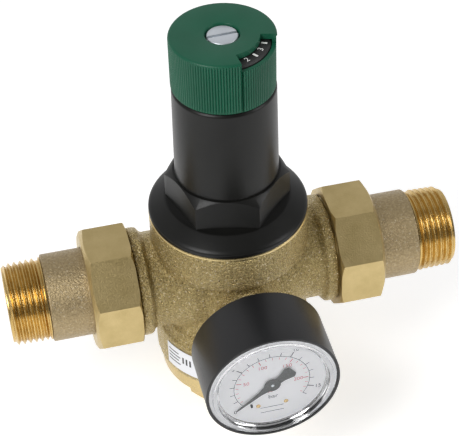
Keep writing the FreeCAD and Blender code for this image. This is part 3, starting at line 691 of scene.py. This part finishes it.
def bonnet(material):
    """Spring bonnet with its flange, hexagonal collar and slightly tapered tube."""
    skirt = low("bonnet").z
    outer = [
        (22.0, skirt), (26.9, skirt), (26.9, BODY_TOP + 0.02), (FLANGE_R - 0.5, BODY_TOP + 0.02),
        (FLANGE_R, BODY_TOP + 0.5), (FLANGE_R, FLANGE_TOP - 0.9), (FLANGE_R - 1.0, FLANGE_TOP),
        (FLANGE_NECK_R, FLANGE_NECK), (TUBE_FOOT_R, FLANGE_NECK), (TUBE_FOOT_R, WRENCH_TOP + 1.6),
        (TUBE_HEAD_R, TUBE_TOP - 1.0),
        (TUBE_HEAD_R - 1.0, TUBE_TOP), (15.0, TUBE_TOP), (15.0, BONNET_TOP), (4.1, BONNET_TOP),
        (4.1, 86.0), (16.4, 86.0), (16.4, 36.0), (22.0, 34.0),
    ]
    shell = lathe("bonnet_shell", rounded(outer, 0.5, 3), segments=192)
    six = flats(WRENCH_FLATS, 6, WRENCH_CORNER)
    corner_r = WRENCH_FLATS / 2 / math.cos(math.pi / 6)
    corners = []
    for index in range(6):
        angle = WRENCH_CORNER + index * math.pi / 3
        corners.append((six(angle + 1e-9) * math.cos(angle), six(angle + 1e-9) * math.sin(angle)))
    wrench = plate("wrench", corners, FLANGE_TOP - 0.5, WRENCH_TOP)
    cone = lathe("cone", [
        (0, FLANGE_TOP - 1), (corner_r + 0.2, FLANGE_TOP - 1), (corner_r + 0.2, WRENCH_TOP - WRENCH_BEVEL),
        (TUBE_FOOT_R + 0.8, WRENCH_TOP), (0, WRENCH_TOP),
    ], segments=192)
    combine(wrench, cone, "INTERSECT")
    core = lathe("core", [(0, 0), (TUBE_FOOT_R - 1.0, 0), (TUBE_FOOT_R - 1.0, 60), (0, 60)], segments=192)
    combine(wrench, core, "DIFFERENCE")
    combine(shell, wrench, "UNION")
    soften(shell, 0.35, 2, 28)
    put(shell, HOUSING, material, "black_plastic", "bonnet")


# Knob, dial and screw -------------------------------------------------------

KNOB_R = high("adjusting_knob").x
KNOB_BASE = low("adjusting_knob").z
KNOB_TOP = high("adjusting_knob").z
KNOB_WALL_R = 17.6
KNOB_RIBS = 120
WINDOW = (math.radians(-83), math.radians(-16))
WINDOW_INNER_R = 13.5
WINDOW_SILL = 109.6
RIB_DEPTH = 0.46


def ribbed(angle, radius, height):
    """Fine upright ribs on the knob's skirt, and a shallow step on one half."""
    if radius < KNOB_R - 0.05 or height > KNOB_TOP - 0.9:
        return radius
    wave = 0.5 + 0.5 * math.cos(angle * KNOB_RIBS)
    turn = (angle - WINDOW[0]) % (2 * math.pi)
    if turn < 0.02:
        return radius - 1.2
    step = 0.45 if turn < math.pi else 0.0
    return radius - RIB_DEPTH * wave ** 1.6 - step


def knob(material):
    """Ribbed cup-shaped knob with a recess for the screw and a window over the dial."""
    rows = [KNOB_BASE + 0.5 + index * 1.6 for index in range(13)]
    outline = [(KNOB_WALL_R, KNOB_BASE), (KNOB_R - 0.5, KNOB_BASE)]
    outline += [(KNOB_R, height) for height in rows]
    outline += [(KNOB_R, KNOB_TOP - 0.95)]
    outline += [(KNOB_R - 0.12, KNOB_TOP - 0.62), (KNOB_R - 0.36, KNOB_TOP - 0.28), (KNOB_R - 0.75, KNOB_TOP - 0.06),
                (KNOB_R - 1.2, KNOB_TOP), (6.9, KNOB_TOP), (6.6, KNOB_TOP - 0.08), (6.4, KNOB_TOP - 0.3)]
    outline += [(6.4, 107.7), (4.05, 107.7), (4.05, 97.0), (8.0, 97.0), (8.0, 111.2), (KNOB_WALL_R, 111.2)]
    shell = lathe("knob_shell", outline, segments=KNOB_RIBS * 8, shape=ribbed, sharp=48)
    combine(shell, sector("window", WINDOW, (WINDOW_INNER_R, KNOB_R + 3), (WINDOW_SILL, KNOB_TOP + 3)), "DIFFERENCE")
    smooth_faces(shell, 48)
    put(shell, "knob", material, "green_plastic", "adjusting_knob")


def sector(name, angles, radii, heights, steps=48):
    """Closed block shaped like part of a ring."""
    corners = []
    for radius, order in ((radii[0], 1), (radii[1], -1)):
        for index in range(steps + 1)[::order]:
            angle = angles[0] + (angles[1] - angles[0]) * index / steps
            corners.append((radius * math.cos(angle), radius * math.sin(angle)))
    return plate(name, corners, *heights)


def text_mesh(name, words, size, place, depth=0.04):
    """Flat raised numerals; place is a matrix from the text's own plane."""
    curve = bpy.data.curves.new(name, "FONT")
    curve.body = words
    curve.size = size * MM
    curve.extrude = depth * MM / 2
    curve.align_x = "CENTER"
    curve.align_y = "CENTER"
    curve.resolution_u = 3
    holder = bpy.data.objects.new(name, curve)
    bpy.context.scene.collection.objects.link(holder)
    bpy.context.view_layer.update()
    depsgraph = bpy.context.evaluated_depsgraph_get()
    mesh = bpy.data.meshes.new_from_object(holder.evaluated_get(depsgraph))
    mesh.transform(place)
    bpy.data.objects.remove(holder)
    made = bpy.data.objects.new(name, mesh)
    bpy.context.scene.collection.objects.link(made)
    return made


DIAL_TOP = high("setting_dial").z
DIAL_R = high("setting_dial").x


def setting_dial(material, print_material):
    """Black ring under the knob's window, with white scale numerals and ticks."""
    outline = rounded([
        (8.3, low("setting_dial").z), (DIAL_R, low("setting_dial").z), (DIAL_R, DIAL_TOP - 0.9),
        (DIAL_R - 0.9, DIAL_TOP - 0.05), (8.3, DIAL_TOP - 0.05),
    ], 0.15, 2)
    put(lathe("dial_ring", outline), "setting_dial", material, "dial_plastic", "setting_dial")
    marks = []
    for index in range(12):
        angle = math.radians(-38 + 30 * index)
        marks.append(dial_number(str((index + 2) % 12 + 1), angle))
        marks.append(radial_bar(angle + math.radians(15), 13.9, 16.1, 0.85, DIAL_TOP - 0.06))
    put(joined("dial_numbers", marks), "setting_dial", print_material, "dial_white")


def dial_number(words, angle):
    at = Vector((14.9 * math.cos(angle), 14.9 * math.sin(angle), DIAL_TOP - 0.045)) * MM
    turn = Matrix.Rotation(angle + math.pi / 2, 4, "Z")
    return text_mesh("number", words, 3.2, Matrix.Translation(at) @ turn)


def radial_bar(angle, inner, outer, width, height, toward=UP, at=ORIGIN, thick=0.03):
    """Printed tick along a radius."""
    along = Vector((math.cos(angle), math.sin(angle)))
    across = Vector((-along.y, along.x)) * width / 2
    corners = [along * inner - across, along * outer - across, along * outer + across, along * inner + across]
    return plate("tick", [tuple(c) for c in corners], height, height + thick, toward, at)


def knob_pointer(material):
    """White mark on the window's inner edge that reads the dial."""
    angle = math.radians(-54)
    mark = radial_bar(angle, WINDOW_INNER_R - 1.7, WINDOW_INNER_R - 0.05, 0.5, KNOB_TOP - 0.05)
    mark.name = "window_mark"
    put(mark, "knob", material, "dial_white")


def knob_screw(material):
    """Slotted cheese-head screw in the knob's recess."""
    top = high("knob_screw").z
    outline = [(0, 97), (2.5, 97), (2.5, 107.8), (5.75, 107.8), (5.75, top - 0.5), (5.6, top - 0.2), (5.3, top), (0, top)]
    screw = lathe("screw_head", outline, closed=False)
    corners = [(-8, -0.6), (8, -0.6), (8, 0.6), (-8, 0.6)]
    turn = Matrix.Rotation(math.radians(3), 2)
    slot = plate("slot", [tuple(turn @ Vector(c)) for c in corners], top - 1.4, top + 1)
    combine(screw, slot, "DIFFERENCE")
    soften(screw, 0.08, 2, 35)
    put(screw, "knob_screw", material, "zinc_steel", "knob_screw")


# Filter bowl ----------------------------------------------------------------

def filter_bowl(material):
    """Turned bowl with a plain rim and an octagonal foot."""
    rim_r = high("filter_bowl").x
    bottom = low("filter_bowl").z
    top = BODY_BASE - 0.1
    shell = lathe("bowl_shell", [
        (18.5, -28.0), (23.9, -28.0), (23.9, top), (rim_r - 0.5, top), (rim_r, top - 0.5), (rim_r, -47.5),
        (rim_r - 1.2, -48.7), (21.9, -53.0), (18.5, -53.0),
    ], segments=192)
    reach = flats(40.6, 8, math.pi / 8)
    corners = []
    for index in range(8):
        angle = math.pi / 8 + index * math.pi / 4
        corners.append((reach(angle) * math.cos(angle), reach(angle) * math.sin(angle)))
    foot = plate("foot", corners, bottom, -52.5)
    corner_r = 20.3 / math.cos(math.pi / 8)
    cone = lathe("cone", [
        (0, bottom), (corner_r - 1.7, bottom), (corner_r + 0.2, bottom + 1.3), (corner_r + 0.2, -50), (0, -50),
    ], segments=192)
    combine(foot, cone, "INTERSECT")
    combine(foot, lathe("well", [(0, -60), (18.5, -60), (18.5, -50), (0, -50)]), "DIFFERENCE")
    combine(shell, foot, "UNION")
    soften(shell, 0.25, 2, 26)
    put(shell, "bowl", material, "bright_brass", "filter_bowl")


def label(material, ink):
    """Plain film on the lower band with a few printed bars."""
    film = wrapped("label_film", (-159, -129), (-37.0, -25.0), BAND_R + 0.02, 0.12)
    put(film, HOUSING, material, "label_film", "label")
    bars = []
    for row in range(4):
        height = -27.6 - row * 1.9
        bars.append(wrapped("bar", (-157.2, -146.5 + 1.5 * (row % 2)), (height - 0.55, height), BAND_R + 0.14, 0.02))
    for column in range(3):
        start = -143.0 + column * 3.2
        bars.append(wrapped("bar", (start, start + 1.5), (-32.0, -28.5), BAND_R + 0.14, 0.02))
    put(joined("label_bars", bars), HOUSING, ink, "dial_plastic")


def wrapped(name, degrees, heights, radius, thick):
    """Thin block that follows the band's curve."""
    angles = [math.radians(a) for a in degrees]
    steps = max(2, int((degrees[1] - degrees[0]) / 1.5))
    return sector(name, angles, (radius, radius + thick), heights, steps)


# Gauge ----------------------------------------------------------------------

GAUGE_R = high("gauge_case").x
GAUGE_BACK = -high("gauge_case").y
GAUGE_RIM = -low("gauge_case").y
GAUGE_FRONT = -low("gauge_lens").y
DIAL_FACE = -low("gauge_dial").y
SCALE_ZERO = 221.0
DEGREES_PER_BAR = 16.0
DEGREES_PER_PSI = 16.0 / 14.504
SCALE_R = 14.6


def gauge_case(material):
    outline = rounded([
        (6.2, GAUGE_BACK), (GAUGE_R - 1.5, GAUGE_BACK), (GAUGE_R, GAUGE_BACK + 1.6), (GAUGE_R, GAUGE_RIM),
        (GAUGE_R - 1.1, GAUGE_RIM), (GAUGE_R - 1.1, GAUGE_BACK + 1.5), (6.2, GAUGE_BACK + 1.5),
    ], 0.3, 4)
    put(lathe("gauge_shell", outline, FRONT, GAUGE_CENTRE, 192), HOUSING, material, "gauge_black", "gauge_case")


def gauge_lens(material):
    outer = GAUGE_R - 1.2
    outline = rounded([
        (0, GAUGE_FRONT - 3.0), (20.6, GAUGE_FRONT - 3.0), (21.3, GAUGE_FRONT - 3.4), (21.3, DIAL_FACE + 0.05),
        (outer, DIAL_FACE + 0.05), (outer, GAUGE_RIM - 0.4), (23.3, GAUGE_RIM), (23.0, GAUGE_FRONT),
        (21.6, GAUGE_FRONT), (20.7, GAUGE_FRONT - 2.2), (0, GAUGE_FRONT - 2.2),
    ], 0.18, 3, closed=False)
    put(lathe("lens_cap", outline, FRONT, GAUGE_CENTRE, 192, closed=False), HOUSING, material, "lens_clear", "gauge_lens")


def gauge_dial(material, black, red):
    outer = GAUGE_R - 1.25
    outline = [(1.0, DIAL_FACE - 0.6), (outer, DIAL_FACE - 0.6), (outer, DIAL_FACE), (1.0, DIAL_FACE)]
    put(lathe("dial_plate", outline, FRONT, GAUGE_CENTRE), HOUSING, material, "dial_white", "gauge_dial")
    black_marks, red_marks = [], []
    for step in range(17):
        angle = math.radians(SCALE_ZERO - DEGREES_PER_BAR * step)
        reach = 2.6 if step % 5 == 0 else 1.8
        black_marks.append(face_bar(angle, SCALE_R, SCALE_R + reach, 0.42 if step % 5 == 0 else 0.28))
    black_marks.append(scale_arc(SCALE_R, SCALE_ZERO, SCALE_ZERO - 16 * DEGREES_PER_BAR, 0.22))
    for value in (0, 5, 10, 15):
        angle = math.radians(SCALE_ZERO - DEGREES_PER_BAR * value)
        black_marks.append(face_text(str(value), 2.7, 18.9 * math.cos(angle), 18.6 * math.sin(angle)))
    black_marks.append(face_text("bar", 2.9, 0.4, -7.0))
    for value in range(0, 231, 10):
        angle = math.radians(SCALE_ZERO - DEGREES_PER_PSI * value)
        reach = 2.0 if value % 50 == 0 else 1.2
        red_marks.append(face_bar(angle, SCALE_R - 0.5 - reach, SCALE_R - 0.5, 0.36 if value % 50 == 0 else 0.24))
    for value in (50, 100, 150, 200):
        angle = math.radians(SCALE_ZERO - DEGREES_PER_PSI * value)
        red_marks.append(face_text(str(value), 2.5, 10.2 * math.cos(angle), 10.2 * math.sin(angle)))
    red_marks.append(face_text("psi", 1.7, -0.6, -3.9))
    for corner in ((-4.6, -15.4), (-4.6, -12.8)):
        black_marks.append(face_line(corner[0], corner[1], 9.2, 0.25))
    put(joined("dial_black_print", black_marks), HOUSING, black, "dial_plastic")
    put(joined("dial_red_print", red_marks), HOUSING, red, "dial_plastic")


def face_bar(angle, inner, outer, width):
    return radial_bar(angle, inner, outer, width, DIAL_FACE + 0.01, FRONT, GAUGE_CENTRE)


def face_line(start, height, length, width):
    corners = [(start, height), (start + length, height), (start + length, height + width), (start, height + width)]
    return plate("line", corners, DIAL_FACE + 0.01, DIAL_FACE + 0.04, FRONT, GAUGE_CENTRE)


def dial_screws(material):
    """Two small screws that hold the dial to the movement."""
    for name, side in (("dial_screw_left", -5.4), ("dial_screw_right", 5.4)):
        outline = rounded([(0, DIAL_FACE + 0.01), (0.9, DIAL_FACE + 0.01), (0.9, DIAL_FACE + 0.3), (0, DIAL_FACE + 0.3)],
                          0.15, 3, closed=False)
        at = GAUGE_CENTRE + Vector((side, 0, -11.0))
        put(lathe(name, outline, FRONT, at, 32, closed=False), HOUSING, material, "bright_brass")


def face_text(words, size, x, z):
    place = Matrix.Translation(Vector((x, -DIAL_FACE - 0.03, z + GAUGE_CENTRE.z)) * MM)
    return text_mesh("text", words, size, place @ Matrix.Rotation(math.pi / 2, 4, "X"))


def scale_arc(radius, start, end, width):
    angles = [math.radians(start), math.radians(end)]
    corners = []
    steps = 120
    for reach, order in ((radius - width / 2, 1), (radius + width / 2, -1)):
        for index in range(steps + 1)[::order]:
            angle = angles[0] + (angles[1] - angles[0]) * index / steps
            corners.append((reach * math.cos(angle), reach * math.sin(angle)))
    return plate("arc", corners, DIAL_FACE + 0.01, DIAL_FACE + 0.04, FRONT, GAUGE_CENTRE)


POINTER_ANGLE = 218.0
POINTER_LENGTH = 17.7


def gauge_pointer(material, pale):
    """Tapered pointer with a flared tail and a stepped hub."""
    def spot(angle, radius):
        return (radius * math.cos(math.radians(angle)), radius * math.sin(math.radians(angle)))

    back = POINTER_ANGLE + 180
    corners = [
        spot(POINTER_ANGLE + 0.9, POINTER_LENGTH), spot(POINTER_ANGLE + 9, 6.0), spot(POINTER_ANGLE + 34, 3.2),
        spot(POINTER_ANGLE + 90, 2.6), spot(back - 34, 3.0), spot(back - 22, 5.0), spot(back - 21, 9.0),
        spot(back - 12, 10.2), spot(back + 12, 10.2), spot(back + 21, 9.0), spot(back + 22, 5.0),
        spot(back + 34, 3.0), spot(POINTER_ANGLE - 90, 2.6), spot(POINTER_ANGLE - 34, 3.2),
        spot(POINTER_ANGLE - 9, 6.0), spot(POINTER_ANGLE - 0.9, POINTER_LENGTH),
    ]
    base = DIAL_FACE + 0.6
    needle = plate("needle", corners, base, base + 0.4, FRONT, GAUGE_CENTRE)
    soften(needle, 0.1, 2, 30)
    hub = lathe("hub", rounded([(0, base - 0.1), (3.2, base - 0.1), (3.2, base + 0.6), (0, base + 0.7)], 0.3, 3, False),
                FRONT, GAUGE_CENTRE, 64, closed=False)
    pointer = joined("pointer_needle", [needle, hub])
    put(pointer, "pointer", material, "pointer_grey", "gauge_pointer")
    pin = lathe("pointer_pin", rounded([(0, base + 0.5), (0.65, base + 0.5), (0.65, base + 0.9), (0, base + 0.95)], 0.15, 3, False),
                FRONT, GAUGE_CENTRE, 32, closed=False)
    put(pin, "pointer", pale, "zinc_steel")


def gauge_socket(material):
    """Socket between the body's boss and the gauge, with a square shank."""
    seal_end = BOSS_END + 2.0
    collar = lathe("collar", rounded([(0, BOSS_END - 8), (6.5, BOSS_END - 8), (6.5, seal_end), (9.0, seal_end),
                                      (9.0, seal_end + 2), (6.0, seal_end + 2), (6.0, GAUGE_BACK + 9), (0, GAUGE_BACK + 9)],
                                     0.4, 3, False), FRONT, GAUGE_CENTRE, closed=False)
    half = 7.0
    shank = plate("shank", [(-half, -half), (half, -half), (half, half), (-half, half)],
                  seal_end + 1.5, GAUGE_BACK - 0.1, FRONT, GAUGE_CENTRE)
    turned = lathe("turned", [(0, 0), (9.2, 0), (9.2, 60), (0, 60)], FRONT, GAUGE_CENTRE)
    combine(shank, turned, "INTERSECT")
    combine(collar, shank, "UNION")
    collar.name = "socket_shank"
    soften(collar, 0.25, 2, 28)
    put(collar, HOUSING, material, "bright_brass", "gauge_socket")


def port_seals(material):
    for node_name, toward in (("gauge_port_seal", FRONT), ("rear_plug_seal", BACK)):
        outline = rounded([(6.7, BOSS_END), (9.4, BOSS_END), (9.4, BOSS_END + 2), (6.7, BOSS_END + 2)], 0.5, 4)
        put(lathe(node_name + "_ring", outline, toward, GAUGE_CENTRE, 96), HOUSING, material, "fibre_seal", node_name)


def rear_plug(material):
    """Plug in the rear port, with a flange and a hexagonal head."""
    seal_end = BOSS_END + 2.0
    end = high("rear_plug").y
    body = lathe("plug_body", rounded([(0, BOSS_END - 8), (6.5, BOSS_END - 8), (6.5, seal_end), (9.4, seal_end),
                                       (9.4, seal_end + 1.5), (0, seal_end + 1.5)], 0.3, 3, False),
                 BACK, GAUGE_CENTRE, closed=False)
    corners = []
    for index in range(6):
        angle = math.pi / 6 + index * math.pi / 3
        corners.append((8.083 * math.cos(angle), 8.083 * math.sin(angle)))
    head = plate("head", corners, seal_end + 1.0, end, BACK, GAUGE_CENTRE)
    cone = lathe("cone", [(0, 30), (8.3, 30), (8.3, end - 0.8), (7.0, end), (0, end)], BACK, GAUGE_CENTRE, 96)
    combine(head, cone, "INTERSECT")
    combine(body, head, "UNION")
    soften(body, 0.2, 2, 28)
    put(body, HOUSING, material, "bright_brass", "rear_plug")


# Inner pieces ---------------------------------------------------------------

INNER = {
    "inner_plastic": ["slip_ring", "insert_cage", "thrust_washer", "dial_carrier", "filter_frame"],
    "inner_rubber": ["diaphragm", "insert_o_ring", "piston_o_ring", "valve_seal", "bowl_o_ring"],
    "inner_steel": ["seat_ring", "valve_stem", "diaphragm_plate", "diaphragm_washer", "stem_nut",
                    "spindle", "filter_mesh"],
    "bright_brass": ["valve_disc_holder", "spring_plate", "pinion_shaft", "movement_plates",
                     "sector_gear", "bourdon_tube"],
    "pointer_grey": ["pointer_stop"],
}


SPRING_R = 12.0
SPRING_WIRE_R = 1.6
SPRING_TURNS = 6
SPRING_STEPS = 48
WIRE_SIDES = 12


def adjusting_spring(material):
    """Coil spring between the bonnet's foot and the spring plate."""
    base = low("adjusting_spring").z
    top = high("adjusting_spring").z
    count = SPRING_TURNS * SPRING_STEPS
    points, faces = [], []
    for index in range(count + 1):
        angle = 2 * math.pi * index / SPRING_STEPS
        level = base + SPRING_WIRE_R + (top - base - 2 * SPRING_WIRE_R) * index / count
        for side in range(WIRE_SIDES):
            around = 2 * math.pi * side / WIRE_SIDES
            reach = SPRING_R + SPRING_WIRE_R * math.cos(around)
            height = level + SPRING_WIRE_R * math.sin(around)
            points.append(Vector((reach * math.cos(angle), reach * math.sin(angle), height)) * MM)
    for index in range(count):
        first = index * WIRE_SIDES
        for side in range(WIRE_SIDES):
            beside = (side + 1) % WIRE_SIDES
            faces.append((first + side, first + beside, first + WIRE_SIDES + beside, first + WIRE_SIDES + side))
    faces.append(tuple(range(WIRE_SIDES)))
    faces.append(tuple(count * WIRE_SIDES + side for side in range(WIRE_SIDES)))
    spring = new_mesh("spring_coil", points, faces)
    face_outwards(spring)
    spring.data.materials.append(material)
    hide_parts("adjusting_spring")
    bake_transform(spring)


def finish_inner(materials):
    """Give the CAD pieces that stay their own finished materials."""
    for material, names in INNER.items():
        for name in names:
            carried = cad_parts[name]
            for holder in carried.material_slots:
                holder.link = "OBJECT"
                holder.material = materials[material]


def make_floor(material):
    """Wide pale floor under the valve."""
    level = CAD_BOX[0][2] / MM - 0.5
    floor = plate("floor", [(-3000, -3000), (3000, -3000), (3000, 3000), (-3000, 3000)], level - 5, level)
    floor.data.materials.append(material)


def main():
    make_camera()
    make_light()
    materials = make_materials()
    casting(materials["cast_brass"])
    body_lip(materials["bright_brass"])
    body_collars(materials["nut_brass"])
    for name, toward in (("inlet", LEFT), ("outlet", RIGHT)):
        union_tail(name + "_tail", toward, materials["tail_brass"], materials["thread_brass"])
        union_nut(name + "_nut", toward, materials["nut_brass"])
    union_washers(materials["fibre_seal"])
    bonnet(materials["black_plastic"])
    knob(materials["green_plastic"])
    setting_dial(materials["dial_plastic"], materials["white_print"])
    knob_pointer(materials["white_print"])
    knob_screw(materials["zinc_steel"])
    filter_bowl(materials["bright_brass"])
    label(materials["label_film"], materials["black_print"])
    gauge_case(materials["gauge_black"])
    gauge_lens(materials["lens_clear"])
    gauge_dial(materials["dial_white"], materials["black_print"], materials["red_print"])
    dial_screws(materials["thread_brass"])
    gauge_pointer(materials["pointer_grey"], materials["zinc_steel"])
    gauge_socket(materials["bright_brass"])
    port_seals(materials["fibre_seal"])
    rear_plug(materials["bright_brass"])
    adjusting_spring(materials["inner_steel"])
    finish_inner(materials)
    make_floor(materials["floor"])


main()
